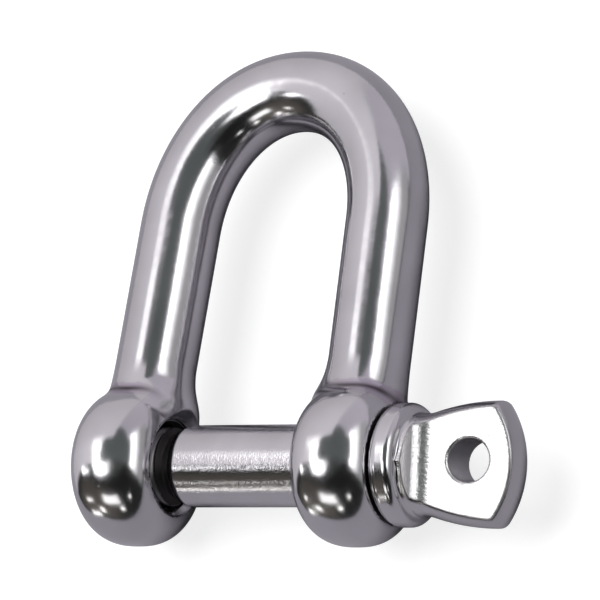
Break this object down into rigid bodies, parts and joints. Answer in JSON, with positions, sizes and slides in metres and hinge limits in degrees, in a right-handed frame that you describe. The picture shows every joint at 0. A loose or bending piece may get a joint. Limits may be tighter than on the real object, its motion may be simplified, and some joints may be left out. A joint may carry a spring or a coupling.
{
  "type": "d shackle with screw pin",
  "caption": "D shackle of round polished steel bar with forged eyes, closed by a collared screw pin whose flat, drilled spade head is turned by hand or with a spike.",
  "frame": {"origin": "on the pin's axis, midway between the two eyes", "axes": "+X along the pin towards its spade head, +Y from the pin to the crown, +Z square to the bow's plane, so the shackle lies flat"},
  "size_m": [0.0706, 0.0758, 0.0234],
  "materials": {
    "body_steel": "polished stainless",
    "pin_steel": "polished stainless"
  },
  "bodies": {
    "body": {"shackle_body": "body_steel"},
    "pin": {"screw_pin": "pin_steel"}
  },
  "joints": [
    {"name": "pin_draw", "type": "slide", "parent": "body", "child": "pin", "axis": [1, 0, 0], "range_m": [0, 0.075]}
  ]
}
